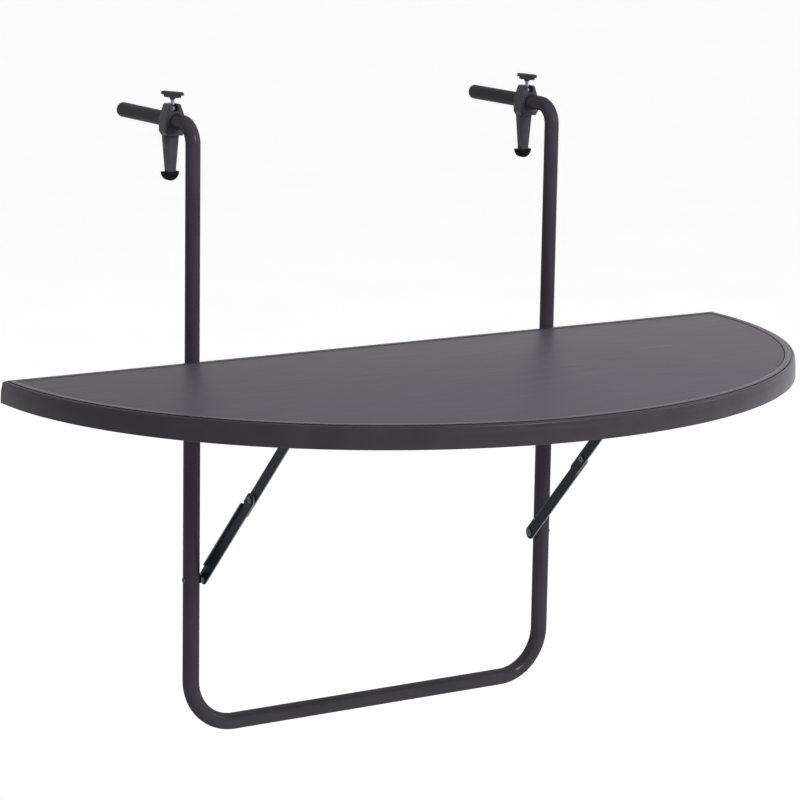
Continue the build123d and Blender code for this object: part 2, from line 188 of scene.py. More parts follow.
def relief(finish, pattern, depth):
    """Raises the surface by the pattern, as a bump of the given depth."""
    nodes, links = finish.node_tree.nodes, finish.node_tree.links
    bump = nodes.new("ShaderNodeBump")
    bump.inputs["Distance"].default_value = depth
    links.new(pattern, bump.inputs["Height"])
    links.new(bump.outputs["Normal"], nodes["Principled BSDF"].inputs["Normal"])


def settle(piece, finish, body, slot, *nodes):
    """Gives a piece its finish, the body it moves with and the nodes it stands for. The slot is not used."""
    piece.data.materials.append(finish)
    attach(piece, body)
    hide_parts(*nodes)


frame_dark, frame_light = screen_colour(67, 63, 71), screen_colour(74, 70, 78)
frame_gloss = {"Specular IOR Level": 0.0, "Coat Weight": 0.17, "Coat Roughness": 0.09}
frame_coat = start_finish("frame_coat", frame_gloss)
vary(frame_coat, grain(frame_coat, waves=18, detail=4), "Base Color", frame_dark, frame_light)
vary(frame_coat, grain(frame_coat, waves=160, detail=3), "Roughness", low=0.26, high=0.34)
relief(frame_coat, grain(frame_coat, waves=650), depth=0.03 * mm)

lower_u = bent_tube(
    "frame_u",
    [
        (-upright_x, upright_y, frame_top_z),
        (-upright_x, upright_y, bar_z),
        (upright_x, upright_y, bar_z),
        (upright_x, upright_y, frame_top_z),
    ],
    frame_bend,
    frame_radius,
    frame_wall,
)
settle(lower_u, frame_coat, "frame", "frame_coat", "frame_tube")

# The two hooks: thinner steel tubes with the same coat. Each stands in a top of the U, pinned by the hinge
# bolt, bends back and reaches level over the handrail.
sides = {"left": -1, "right": 1}
hook_wall = 1.2 * mm
hook_bend = 24 * mm
hook_low, hook_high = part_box("hook_tube_right")
hook_radius = (hook_high.x - hook_low.x) / 2
arm_z = hook_high.z - hook_radius
arm_end_y = hook_high.y

for side, outward in sides.items():
    hook_x = outward * upright_x
    hook_path = [(hook_x, upright_y, hook_low.z), (hook_x, upright_y, arm_z), (hook_x, arm_end_y, arm_z)]
    hook = bent_tube("hook_" + side, hook_path, hook_bend, hook_radius, hook_wall)
    settle(hook, frame_coat, "frame", "frame_coat", "hook_tube_" + side)

# The plugs that close the arms' ends: black injection-moulded plastic, pushed into the tube. A plug has a rim
# with a rounded edge, a shallow gate mark in its middle and a stem in the tube.
plug_rim = 2.5 * mm
plug_stem = 12 * mm
plug_edge = 1.5 * mm
plug_lead = 1.0 * mm
plug_play = 0.1 * mm
gate_radius = 2.2 * mm
gate_slope = 1.0 * mm
gate_depth = 0.35 * mm
pole = 0.05 * mm
ring_steps = 48


def revolved(centre, axis, radius, height, around=ring_steps):
    """Points of a surface of revolution: the radii and heights of a profile carried once round an axis.

    A point is centre + axis * height + radius * (across * cos a + other * sin a). Radius and height are one
    number a row, or change with the angle too, as on a hexagon.
    """
    axis = np.array(axis, float)
    across = np.array((1.0, 0.0, 0.0) if axis[2] else (0.0, 0.0, 1.0))
    other = np.cross(axis, across)
    angle = np.linspace(0, 2 * np.pi, around, endpoint=False)
    radius, height = (np.array(row, float).reshape(len(row), -1, 1) for row in (radius, height))
    ring = across * np.cos(angle)[:, None] + other * np.sin(angle)[:, None]
    return np.array(centre) + axis * height + radius * ring


def turned(name, *profile, **options):
    """A turned piece: a surface of revolution whose first and last rings are closed flat."""
    return surface(name, revolved(*profile, **options), closed_columns=True, capped=True)


def arc(middle_r, middle_h, radius, start, end, steps=7):
    """Radii and heights of an arc, middle + radius * cos a and middle + radius * sin a, a in degrees."""
    angle = np.radians(np.linspace(start, end, steps))
    return middle_r + radius * np.cos(angle), middle_h + radius * np.sin(angle)


plug_dark, plug_light = screen_colour(24, 24, 26), screen_colour(31, 31, 33)
plug_plastic = start_finish("plug_plastic", {"Specular IOR Level": 0.3})
vary(plug_plastic, grain(plug_plastic, waves=300, detail=3), "Base Color", plug_dark, plug_light)
vary(plug_plastic, grain(plug_plastic, waves=900), "Roughness", low=0.38, high=0.5)
relief(plug_plastic, grain(plug_plastic, waves=2500), depth=0.02 * mm)

stem_radius = hook_radius - hook_wall - plug_play
edge_r, edge_h = arc(hook_radius - plug_edge, plug_rim - plug_edge, plug_edge, 0, 90)
plug_radii = [pole, stem_radius - plug_lead, stem_radius, stem_radius, hook_radius, *edge_r]
plug_radii += [gate_radius, gate_radius - gate_slope, pole]
plug_heights = [-plug_stem, -plug_stem, plug_lead - plug_stem, 0, 0, *edge_h]
plug_heights += [plug_rim, plug_rim - gate_depth, plug_rim - gate_depth]
for side, outward in sides.items():
    arm_end = (outward * upright_x, arm_end_y, arm_z)
    plug = turned("arm_plug." + side, arm_end, (0, 1, 0), plug_radii, plug_heights)
    settle(plug, plug_plastic, "frame", "plug_plastic", "arm_plug_" + side)

# The hinge of the top: on each side a zinc-plated steel bolt pins the hook into the U and carries the support
# rail's rear ear between a spacer bush and a nut. Its button head has a hexagon socket.
bolt_radius = 3 * mm
bolt_point = 0.8 * mm
socket_flats = 4 * mm
socket_depth = 1.8 * mm
dome_angle = 60
bush_edge = 0.3 * mm
nut_flats = 10 * mm
nut_face_share = 0.92


def centre_of(node):
    """The middle of a node's box."""
    low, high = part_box(node)
    return np.array((low + high) / 2)


def x_reach(node):
    """Distances from the middle plane of the table to a node's near and far side."""
    low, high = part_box(node)
    return sorted((abs(low.x), abs(high.x)))


def round_row(value, around=ring_steps):
    """One row of a profile that is the same at every angle: a radius, or a height."""
    return np.full(around, value)


def hexagon(flats, around=ring_steps):
    """Radius of a hexagon at each angle.

    It is half the width over flats, divided by the cosine of the angle from the middle of the nearest flat.
    """
    angle = np.linspace(0, 2 * np.pi, around, endpoint=False)
    return flats / 2 / np.cos((angle + np.pi / 6) % (np.pi / 3) - np.pi / 6)


def nut_points(centre, axis, flats, low, high, bore):
    """Points of a hexagon nut: its corners fall away by half of what they stand past the round faces."""
    corner = hexagon(flats)
    cut = (corner - flats / 2) / 2
    face = round_row(nut_face_share * flats / 2)
    radii = [round_row(bore), face, corner, corner, face, round_row(bore)]
    heights = [round_row(low), round_row(low), low + cut, high - cut, round_row(high), round_row(high)]
    return revolved(centre, axis, radii, heights)


def spacer_bush(name, node, outward):
    """A spacer bush on a pin along X: a plain ring with broken edges."""
    near, far = x_reach(node)
    low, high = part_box(node)
    ring = (high.z - low.z) / 2
    radii = [bolt_radius, ring - bush_edge, ring, ring, ring - bush_edge, bolt_radius]
    heights = [near, near, near + bush_edge, far - bush_edge, far, far]
    points = revolved((0, upright_y, (low.z + high.z) / 2), (outward, 0, 0), radii, heights)
    return surface(name, points, closed_rows=True, closed_columns=True)


zinc_dark, zinc_light = screen_colour(158, 164, 174), screen_colour(194, 199, 207)
zinc_steel = start_finish("zinc_steel", {"Metallic": 1.0})
vary(zinc_steel, grain(zinc_steel, waves=260, detail=4), "Base Color", zinc_dark, zinc_light)
vary(zinc_steel, grain(zinc_steel, waves=500, detail=3), "Roughness", low=0.24, high=0.4)
relief(zinc_steel, grain(zinc_steel, waves=1600, detail=3), depth=0.015 * mm)

for side, outward in sides.items():
    bolt_low, bolt_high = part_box("hinge_bolt_" + side)
    hinge_point = (0, upright_y, (bolt_low.z + bolt_high.z) / 2)
    head_radius = (bolt_high.z - bolt_low.z) / 2
    tip, crown = x_reach("hinge_bolt_" + side)
    seat = upright_x + frame_radius
    dome_r, dome_h = arc(0, 0, 1, 0, dome_angle)
    dome_h = seat + dome_h / math.sin(math.radians(dome_angle)) * (crown - seat)
    shank_r = [pole, bolt_radius - bolt_point, bolt_radius, bolt_radius]
    radii = [round_row(r) for r in (*shank_r, *(dome_r * head_radius))]
    radii += [hexagon(socket_flats), hexagon(socket_flats), round_row(pole)]
    heights = [tip, tip, tip + bolt_point, seat, *dome_h, crown, crown - socket_depth, crown - socket_depth]
    bolt = turned("hinge_bolt." + side, hinge_point, (outward, 0, 0), radii, heights)
    settle(bolt, zinc_steel, "frame", "zinc_steel", "hinge_bolt_" + side)
    bush = spacer_bush("hinge_bush." + side, "hinge_bush_" + side, outward)
    settle(bush, zinc_steel, "frame", "zinc_steel", "hinge_bush_" + side)
    near, far = x_reach("hinge_nut_" + side)
    points = nut_points(hinge_point, (outward, 0, 0), nut_flats, near, far, bolt_radius)
    nut = surface("hinge_nut." + side, points, closed_rows=True, closed_columns=True)
    settle(nut, zinc_steel, "frame", "zinc_steel", "hinge_nut_" + side)

# The braces' lower pivots: a blued steel rivet goes through each upright, a spacer bush and the lower strip.
# Its outer head is small, low and plain, and its inner head is set with a hollow in the middle.
outer_head_radius = 3.75 * mm
hollow_radius = 1.9 * mm
hollow_depth = 0.9 * mm
hollow_floor = 0.7
head_skirt = 0.3
head_flat = 74
head_steps = 9
head_play = 0.1 * mm

blued_dark, blued_light = screen_colour(60, 64, 72), screen_colour(92, 97, 106)
rivet_steel = start_finish("rivet_steel", {"Metallic": 1.0})
vary(rivet_steel, grain(rivet_steel, waves=320, detail=4), "Base Color", blued_dark, blued_light)
vary(rivet_steel, grain(rivet_steel, waves=600, detail=3), "Roughness", low=0.26, high=0.42)
relief(rivet_steel, grain(rivet_steel, waves=1500, detail=3), depth=0.02 * mm)


def rivet_head(radius, crown, seat, hollow=hollow_depth):
    """Radii and heights of a rivet head, from its middle to its seat.

    The head is a flattened quarter ellipse on a short skirt, with a hollow sunk in its middle.
    """
    skirt = seat + head_skirt * (crown - seat)
    dome_r, dome_h = arc(0, 0, 1, head_flat, 0, head_steps)
    dome_h = skirt + dome_h / math.sin(math.radians(head_flat)) * (crown - skirt)
    sunk = crown - math.copysign(hollow, crown - seat)
    radii = [pole, hollow_floor * hollow_radius, hollow_radius, *(dome_r * radius), radius]
    return radii, [sunk, sunk, crown, *dome_h, seat]


for side, outward in sides.items():
    rivet_low, rivet_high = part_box("lower_pivot_rivet_" + side)
    pivot_point = (0, upright_y, (rivet_low.z + rivet_high.z) / 2)
    inner_crown, outer_crown = x_reach("lower_pivot_rivet_" + side)
    inner_seat = x_reach("lower_link_" + side)[0] - head_play
    outer_seat = upright_x + frame_radius
    inner_r, inner_h = rivet_head((rivet_high.z - rivet_low.z) / 2, inner_crown, inner_seat)
    outer_r, outer_h = rivet_head(outer_head_radius, outer_crown, outer_seat, hollow=0)
    radii = inner_r + [bolt_radius, bolt_radius] + outer_r[::-1]
    heights = inner_h + [inner_seat, outer_seat] + outer_h[::-1]
    rivet = turned("lower_pivot_rivet." + side, pivot_point, (outward, 0, 0), radii, heights)
    settle(rivet, rivet_steel, "frame", "zinc_steel", "lower_pivot_rivet_" + side)
    bush = spacer_bush("lower_pivot_bush." + side, "lower_pivot_bush_" + side, outward)
    settle(bush, rivet_steel, "frame", "zinc_steel", "lower_pivot_bush_" + side)

# The board of the top: pressed board with a dark laminate that has a fine straight grain along the handrail.
# It lies in the edge profile, its edge a little below the profile's crown, and its corners are broken.
top_straight = 16 * mm
board_inset = 14.3 * mm
board_edge = 0.5 * mm
outline_steps = 240
rim_low, rim_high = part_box("front_rim")
board_low, board_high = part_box("table_panel")
half_width = rim_high.x
top_z = rim_high.z
back_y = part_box("back_rim")[1].y
top_depth = back_y - rim_low.y


def top_outline(inset, share):
    """Plan of the top's outline, drawn in by the inset, at a share of the way from right to left.

    It is half an ellipse with short straight ends: x = (half width - inset) * cos a and
    y = end - (depth - inset) * sin a. Angles below 0 and above pi run on along the straight ends. The run
    starts and stops where the distance to the back equals the inset, which is the mitre at the corners.
    """
    front_depth = top_depth - top_straight - inset
    straight = top_straight - inset
    start = np.where(straight > 0, -straight / front_depth, np.arcsin(np.clip(-straight / front_depth, 0, 1)))
    angle = start + (np.pi - 2 * start) * share
    bent = np.clip(angle, 0, np.pi)
    past = np.abs(angle - bent)
    x = (half_width - inset) * np.cos(bent)
    y = back_y - top_straight + front_depth * (past - np.sin(bent))
    return x, y


laminate_dark, laminate_light = screen_colour(92, 84, 95), screen_colour(101, 93, 104)
board_laminate = start_finish("board_laminate", {"Specular IOR Level": 0.04})
streaks = grain(board_laminate, waves=1.0, detail=5, stretch=(7, 380, 380))
sheen = grain(board_laminate, waves=1.0, detail=3, stretch=(12, 500, 500))
vary(board_laminate, streaks, "Base Color", laminate_dark, laminate_light, spread=0.25)
vary(board_laminate, sheen, "Roughness", low=0.36, high=0.44)
relief(board_laminate, streaks, depth=0.02 * mm)

corner_i, corner_h = arc(board_inset + board_edge, board_high.z - board_edge, board_edge, 180, 90)
board_insets = np.array([board_inset + board_edge, board_inset, *corner_i])[:, None]
board_heights = np.array([board_low.z, board_low.z + board_edge, *corner_h])[:, None]
board_x, board_y = top_outline(board_insets, np.linspace(0, 1, outline_steps)[None, :])
board_points = np.stack((board_x, board_y, np.broadcast_to(board_heights, board_x.shape)), axis=-1)
board = surface("board", board_points, closed_columns=True, capped=True)
settle(board, board_laminate, "table_top", "board", "table_panel")

# The edge profile: satin dark grey plastic, extruded, bent round the front and cut straight for the back,
# with mitred corners. Its apron bellies out below a rounded shoulder, a fine groove parts the shoulder from
# the slightly higher crown, and a ledge carries the board. The groove is painted dark, as painted shade.
rim_draft = 1.5 * mm
rim_round = 3 * mm
rim_wall = 2.5 * mm
rim_land = 13.5 * mm
rim_inner_round = 1.0 * mm
land_thickness = 3 * mm
ledge_reach = 26 * mm
ledge_thickness = 2.5 * mm
belly_height = 13 * mm
belly_draft = 0.35 * mm
crown_fall = 0.4 * mm
groove_inset = 5.2 * mm
groove_half = 0.7 * mm
groove_depth = 0.6 * mm
groove_wall = 0.2 * mm
shoulder_drop = 0.9 * mm
lip_round = 0.7 * mm
lip_steps = 5
apron_steps = 6
crown_steps = 7
shoulder_from = 170
inner_round_from = 85


def rim_section():
    """Inset and height of the profile's section, once round: apron, shoulder, crown, inner wall and ledge.

    The apron's inset runs from the belly's to the draft's as a half cosine, and the shoulder is nearly a
    quarter round. The groove is a narrow trough, and the crown falls off as the square of the distance from
    its middle. The third array is 1 in the groove, where the finish paints shade, and 0 elsewhere.
    """
    lip_i, lip_z = arc(lip_round, rim_low.z + lip_round, lip_round, 270, 180, lip_steps)
    rise = np.linspace(0, 1, apron_steps)
    apron_i = belly_draft + (rim_draft - belly_draft) * (1 - np.cos(np.pi * rise)) / 2
    shoulder_z = top_z - crown_fall - shoulder_drop
    apron_z = rim_low.z + belly_height + rise * (shoulder_z - rim_round - rim_low.z - belly_height)
    edge_i, edge_z = arc(groove_inset - groove_half, shoulder_z - rim_round, rim_round, shoulder_from, 90)
    crown_from, crown_to = groove_inset + groove_half, rim_land - rim_inner_round
    groove_i = [edge_i[-1] + groove_wall, crown_from - groove_wall, crown_from - groove_wall / 2]
    groove_z = [shoulder_z - groove_depth, shoulder_z - groove_depth, top_z - crown_fall - groove_wall]
    crown_i = np.linspace(crown_from, crown_to, crown_steps)
    middle = (crown_from + crown_to) / 2
    crown_z = top_z - crown_fall * ((crown_i - middle) / (crown_to - middle)) ** 2
    inner_round_z = top_z - crown_fall - rim_inner_round
    inner_i, inner_z = arc(crown_to, inner_round_z, rim_inner_round, inner_round_from, 0)
    land_z = top_z - land_thickness
    ledge_z = board_low.z - ledge_thickness
    wall_i = [rim_land, ledge_reach, ledge_reach, rim_land - rim_wall, rim_land - rim_wall]
    wall_i += [rim_draft + rim_wall, rim_wall]
    wall_z = [board_low.z, board_low.z, ledge_z, ledge_z, land_z, land_z, rim_low.z]
    insets = np.concatenate((lip_i, apron_i, edge_i, groove_i, crown_i, inner_i, wall_i))
    heights = np.concatenate((lip_z, apron_z, edge_z, groove_z, crown_z, inner_z, wall_z))
    painted_shade_in_groove = np.isin(insets, groove_i).astype(np.float32)
    return insets, heights, painted_shade_in_groove


def mark(piece, name, values):
    """Stores one number for each point of a piece, as an attribute that its finish can read."""
    piece.data.attributes.new(name, "FLOAT", "POINT").data.foreach_set("value", values.astype(np.float32))


def colour_where(finish, attribute, colour):
    """Puts another colour in place of a finish's own where the piece's attribute is 1."""
    nodes, links = finish.node_tree.nodes, finish.node_tree.links
    base = nodes["Principled BSDF"].inputs["Base Color"]
    coat = base.links[0].from_socket
    where = nodes.new("ShaderNodeAttribute")
    where.attribute_name = attribute
    blend = nodes.new("ShaderNodeMixRGB")
    blend.inputs["Color2"].default_value = colour
    links.new(where.outputs["Fac"], blend.inputs["Fac"])
    links.new(coat, blend.inputs["Color1"])
    links.new(blend.outputs["Color"], base)


rim_dark, rim_light = screen_colour(56, 52, 59), screen_colour(63, 59, 66)
# Painted shade: the near black colour that the groove takes, darker than the plastic itself.
groove_painted_shade = screen_colour(22, 20, 24)
rim_gloss = {"Specular IOR Level": 0.2, "Specular Tint": (1.0, 0.93, 1.0, 1.0)}
rim_plastic = start_finish("rim_plastic", rim_gloss)
vary(rim_plastic, grain(rim_plastic, waves=25, detail=4), "Base Color", rim_dark, rim_light)
vary(rim_plastic, grain(rim_plastic, waves=400, detail=3), "Roughness", low=0.28, high=0.38)
relief(rim_plastic, grain(rim_plastic, waves=1800, detail=2), depth=0.02 * mm)
# Paints the shade into the groove: its marked points take the near black colour.
colour_where(rim_plastic, "groove", groove_painted_shade)

section_inset, section_z, painted_shade_in_groove = rim_section()
share = np.linspace(0, 1, outline_steps)[:, None]
front_x, front_y = top_outline(section_inset[None, :], share)
front_points = np.stack((front_x, front_y, np.broadcast_to(section_z, front_x.shape)), axis=-1)
front_rim = surface("edge_profile_front", front_points, closed_columns=True, capped=True)
mark(front_rim, "groove", np.tile(painted_shade_in_groove, outline_steps))
settle(front_rim, rim_plastic, "table_top", "rim_plastic", "front_rim")

back_x = (2 * share - 1) * (half_width - section_inset)
back_points = np.stack(np.broadcast_arrays(back_x, back_y - section_inset, section_z), axis=-1)
back_rim = surface("edge_profile_back", back_points, closed_columns=True, capped=True)
mark(back_rim, "groove", np.tile(painted_shade_in_groove, outline_steps))
settle(back_rim, rim_plastic, "table_top", "rim_plastic", "back_rim")

# The support rails: folded steel angles with a bluish black coat, screwed to the board from below. Each has a
# rear ear on the hinge bolt and a front ear for the brace. The sheet's cut edges are broken.
rail_edge = 0.4 * mm
merge_distance = 0.002 * mm
flat_within = math.radians(1)
broken_from = math.radians(40)
broken_steps = 2

coat_dark, coat_light = screen_colour(32, 37, 45), screen_colour(40, 45, 54)
brace_coat = start_finish("brace_coat", {"Specular IOR Level": 0.08})
vary(brace_coat, grain(brace_coat, waves=40, detail=4), "Base Color", coat_dark, coat_light)
vary(brace_coat, grain(brace_coat, waves=220, detail=3), "Roughness", low=0.32, high=0.44)
relief(brace_coat, grain(brace_coat, waves=900), depth=0.025 * mm)


def break_edges(node, width):
    """Rounds the sharp edges of a CAD piece as it is shown: its faces are merged and its edges bevelled."""
    node.modifiers.new("Merge", "WELD").merge_threshold = merge_distance
    flat = node.modifiers.new("Flat faces", "DECIMATE")
    flat.decimate_type = "DISSOLVE"
    flat.angle_limit = flat_within
    bevel = node.modifiers.new("Edges", "BEVEL")
    bevel.width = width
    bevel.segments = broken_steps
    bevel.limit_method = "ANGLE"
    bevel.angle_limit = broken_from


def finish_node(name, finish):
    """Gives its finish to a CAD piece that keeps its own shape, and returns the piece."""
    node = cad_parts[name]
    node.data.materials.clear()
    node.data.materials.append(finish)
    return node


for side in sides:
    break_edges(finish_node("support_rail_" + side, brace_coat), rail_edge)

# The screws of the rails: zinc-plated steel with pan heads and a cross recess. Four in each rail are driven
# up into the board and hold it.
screw_count = 4
screw_radius = 2 * mm
screw_point = 1.0 * mm
screw_head_radius = 4 * mm
screw_head_height = 2.6 * mm
screw_head_round = 1.6 * mm
recess_reach = 1.9 * mm
recess_depth = 1.5 * mm
recess_taper = 0.7
recess_web = 0.42
recess_power = 6


def cross_recess(reach, around=ring_steps):
    """Radius of a cross-shaped recess at each angle, which swells to the reach four times round.

    It is reach * (web + (1 - web) * the power of |cos 2a|).
    """
    angle = np.linspace(0, 2 * np.pi, around, endpoint=False)
    return reach * (recess_web + (1 - recess_web) * np.abs(np.cos(2 * angle)) ** recess_power)


for side in sides:
    screws_low, screws_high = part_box("rail_screws_" + side)
    low, high = screws_low.z, screws_high.z
    seat = low + screw_head_height
    pan_r, pan_h = arc(screw_head_radius - screw_head_round, low + screw_head_round, screw_head_round, 0, -90)
    radii = [round_row(r) for r in (pole, screw_radius, screw_radius, screw_head_radius, *pan_r)]
    radii += [cross_recess(recess_reach), cross_recess(recess_taper * recess_reach), round_row(pole)]
    heights = [high, high - screw_point, seat, seat, *pan_h, low, low + recess_depth, low + recess_depth]
    screw_x = (screws_low.x + screws_high.x) / 2
    rows_y = np.linspace(screws_high.y - screw_head_radius, screws_low.y + screw_head_radius, screw_count)
    grids = [revolved((screw_x, y, 0), (0, 0, 1), radii, heights) for y in rows_y]
    screws = surface("rail_screws." + side, *grids, closed_columns=True, capped=True)
    settle(screws, zinc_steel, "table_top", "zinc_steel", "rail_screws_" + side)

# The braces' upper pivots: blued steel rivets that join the upper strips to the rails' front ears. The inner
# head is set with a hollow in its middle, and the other lies flush in the strip.
rivet_head_height = 2.1 * mm
flush_height = 0.9 * mm
for side, outward in sides.items():
    rivet_low, rivet_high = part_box("upper_pivot_rivet_" + side)
    _, pivot_y, pivot_z = centre_of("upper_pivot_rivet_" + side)
    head_radius = (rivet_high.z - rivet_low.z) / 2
    crown, flush = x_reach("upper_pivot_rivet_" + side)
    seat = crown + rivet_head_height
    head_r, head_h = rivet_head(head_radius, crown, seat)
    radii = head_r + [bolt_radius, bolt_radius, head_radius, head_radius, pole]
    heights = head_h + [seat, flush - flush_height, flush - flush_height, flush, flush]
    rivet = turned("upper_pivot_rivet." + side, (0, pivot_y, pivot_z), (outward, 0, 0), radii, heights)
    settle(rivet, rivet_steel, "table_top", "zinc_steel", "upper_pivot_rivet_" + side)

# The braces: strips pressed from steel sheet with the rails' coat. Their sheared edges are painted a pale
# steel colour, partly as bare steel and partly as a painted highlight. The lower strip has a stiffening
# flange and, near the knuckle, a notch. The upper strip's tail runs on past the knuckle, and its small tab
# folds into the notch and stops the brace when it is straight.
strip_thickness = 2 * mm
strip_edge = 0.35 * mm
fold_radius = 1.6 * mm
fold_run = 1.2 * mm
notch_run = 0.5 * mm
strip_columns = 26
chamfer_share = 0.8
row_digits = 7
tip_from = 4
tip_rows = 14
lower_rows = 320
upper_rows = 90
lower_half = 8.25 * mm
upper_half = 7.5 * mm
flange_depth = 3 * mm
flange_from_pivot = 16 * mm
flange_from_knuckle = 18.5 * mm
notch_from_knuckle = 8.2 * mm
notch_length = 9.8 * mm
notch_depth = 2 * mm
tail = 30 * mm
tab_from_knuckle = 11.2 * mm
tab_length = 2.6 * mm
tab_reach = 8.55 * mm
tab_depth = 2.3 * mm
tab_edge = 0.25 * mm


def pressed_strip(name, x_middle, outward, start, along, s, plain_edge, fold_edge, fold, fold_depth):
    """A strip of sheet with one folded edge: its section, with broken corners, carried along the strip.

    For each place s along the strip, the section lies flat from the plain edge to the fold, turns through an
    arc by the fold's weight times 90 degrees and goes on straight as a lip. A point of the middle line at the
    developed length q is flat + radius * (sin p, 1 - cos p) + over * (cos end, sin end), and the faces stand
    off it by half the thickness along (-sin p, cos p). The broken corners narrow where a tip leaves them no
    room. The cut_edge attribute is 1 on the sheared edges.
    """
    half = strip_thickness / 2
    flat = plain_edge + fold_edge - fold * (fold_radius + half)
    bend = fold * fold_radius * np.pi / 2
    total = flat + bend + fold * (fold_depth + half - fold_radius)
    share = np.linspace(0, 1, strip_columns)
    face, inset = np.full(strip_columns, half), np.zeros(strip_columns)
    inset[0], inset[-1] = 1, -1
    edge = np.array((half - strip_edge, strip_edge - half))
    column_share = np.concatenate((share, [1, 1], share[::-1], [0, 0]))
    column_inset = np.concatenate((inset, [0, 0], inset[::-1], [0, 0]))
    column_lift = np.concatenate((face, edge, -face, -edge))
    chamfer = np.minimum(strip_edge, chamfer_share * total / (strip_columns - 1))[:, None]
    q = column_share * total[:, None] + column_inset * chamfer
    turn = np.clip(q - flat[:, None], 0, bend[:, None]) / fold_radius
    over = np.maximum(q - (flat + bend)[:, None], 0)
    end = (bend / fold_radius)[:, None]
    across = np.minimum(q, flat[:, None]) + fold_radius * np.sin(turn) + over * np.cos(end)
    across = across - column_lift * np.sin(turn) - plain_edge[:, None]
    depth = fold_radius * (1 - np.cos(turn)) + over * np.sin(end) + column_lift * np.cos(turn)
    towards = np.array((along[1], -along[0]))
    plane = start + along * s[:, None, None] + towards * across[:, :, None]
    points = np.concatenate(((x_middle + outward * depth)[:, :, None], plane), axis=-1)
    strip = surface(name, points, closed_columns=True, capped=True)
    cut_edge = np.concatenate((np.zeros(strip_columns), [1, 1], np.zeros(strip_columns), [1, 1]))
    mark(strip, "cut_edge", np.tile(cut_edge, len(s)))
    return strip


def round_end(past, half):
    """Half-width of a strip past the centre of its round end: the root of half squared less past squared."""
    return np.sqrt(np.maximum(half ** 2 - np.maximum(past, 0) ** 2, 0))


def between(s, start, stop, run):
    """1 between start and stop and 0 outside, with a smooth rise and fall over the run on either side.

    A straight rise r is eased to r * r * (3 - 2 * r).
    """
    rise = np.clip((s - start) / run + 0.5, 0, 1) * np.clip((stop - s) / run + 0.5, 0, 1)
    return rise * rise * (3 - 2 * rise)


# A pale steel colour on the sheared edges: partly bare steel, partly a painted highlight.
bare_steel_and_highlight = screen_colour(165, 170, 178)
colour_where(brace_coat, "cut_edge", bare_steel_and_highlight)
tip = np.cos(np.radians(np.linspace(tip_from, 90, tip_rows)))
# Rows that agree to row_digits decimals of a metre count as one, so that no face has an edge of no length.
for side, outward in sides.items():
    pivot, knuckle, upper_pivot = (
        centre_of(node + side)[1:] for node in ("lower_pivot_bush_", "knuckle_outer_", "upper_pivot_rivet_")
    )
    length = np.linalg.norm(knuckle - pivot)
    along = (knuckle - pivot) / length
    run = np.linspace(0, length, lower_rows)
    s = np.concatenate((-lower_half * tip, run, length + lower_half * tip))
    s = np.unique(np.round(s, row_digits))
    half = round_end(np.maximum(-s, s - length), lower_half)
    notch_stop = length - notch_from_knuckle
    notch = between(s, notch_stop - notch_length, notch_stop, notch_run)
    flange = between(s, flange_from_pivot, length - flange_from_knuckle, fold_run)
    lower_x = outward * (x_reach("lower_link_" + side)[0] + strip_thickness / 2)
    reach = half - notch_depth * notch
    lower_strip = pressed_strip(
        "lower_strip." + side, lower_x, outward, pivot, along, s, half, reach, flange, flange_depth
    )
    settle(lower_strip, brace_coat, "lower_brace_" + side, "brace_coat", "lower_link_" + side)

    length = np.linalg.norm(upper_pivot - knuckle)
    tab_start, tab_stop = -tab_from_knuckle - tab_length, -tab_from_knuckle
    tab_rows = [tab_start - tab_edge, tab_start, (tab_start + tab_stop) / 2, tab_stop, tab_stop + tab_edge]
    tail_middle = upper_half - tail
    run = np.linspace(tail_middle, length, upper_rows)
    s = np.concatenate((tail_middle - upper_half * tip, tab_rows, run, length + upper_half * tip))
    s = np.unique(np.round(s, row_digits))
    half = round_end(np.maximum(tail_middle - s, s - length), upper_half)
    tab = ((s >= tab_start) & (s <= tab_stop)).astype(float)
    reach = np.where(tab > 0, tab_reach, half)
    upper_x = outward * (x_reach("upper_link_" + side)[0] + strip_thickness / 2)
    upper_strip = pressed_strip(
        "upper_strip." + side, upper_x, outward, knuckle, along, s, half, reach, tab, tab_depth
    )
    settle(upper_strip, brace_coat, "upper_brace_" + side, "brace_coat", "upper_link_" + side)

# The knuckle rivets of the braces: blued steel with hollow heads. Half of each is set in the lower strip and
# half in the upper strip.
for side, outward in sides.items():
    for half_name, body in (("knuckle_outer", "lower_brace_"), ("knuckle_inner", "upper_brace_")):
        rivet_low, rivet_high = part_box(half_name + "_" + side)
        _, knuckle_y, knuckle_z = centre_of(half_name + "_" + side)
        near, far = x_reach(half_name + "_" + side)
        crown, foot = (far, near) if half_name == "knuckle_outer" else (near, far)
        seat = crown - math.copysign(rivet_head_height, crown - foot)
        head_r, head_h = rivet_head((rivet_high.z - rivet_low.z) / 2, crown, seat)
        radii = head_r + [bolt_radius, bolt_radius, pole]
        heights = head_h + [seat, foot, foot]
        rivet = turned(half_name + "." + side, (0, knuckle_y, knuckle_z), (outward, 0, 0), radii, heights)
        settle(rivet, rivet_steel, body + side, "zinc_steel", half_name + "_" + side)

# The rail clamps: a moulded dark grey collar slides on each arm, with a leg behind the handrail. It is
# glass-filled nylon with a fine spark-eroded texture.
collar_edge = 0.5 * mm
collar_dark, collar_light = screen_colour(70, 68, 74), screen_colour(78, 76, 82)
clamp_plastic = start_finish("clamp_plastic", {"Specular IOR Level": 0.2})
vary(clamp_plastic, grain(clamp_plastic, waves=120, detail=4), "Base Color", collar_dark, collar_light)
vary(clamp_plastic, grain(clamp_plastic, waves=900), "Roughness", low=0.40, high=0.55)
relief(clamp_plastic, grain(clamp_plastic, waves=1500, detail=3), depth=0.05 * mm)
for side in sides:
    break_edges(finish_node("clamp_jaw_" + side, clamp_plastic), collar_edge)

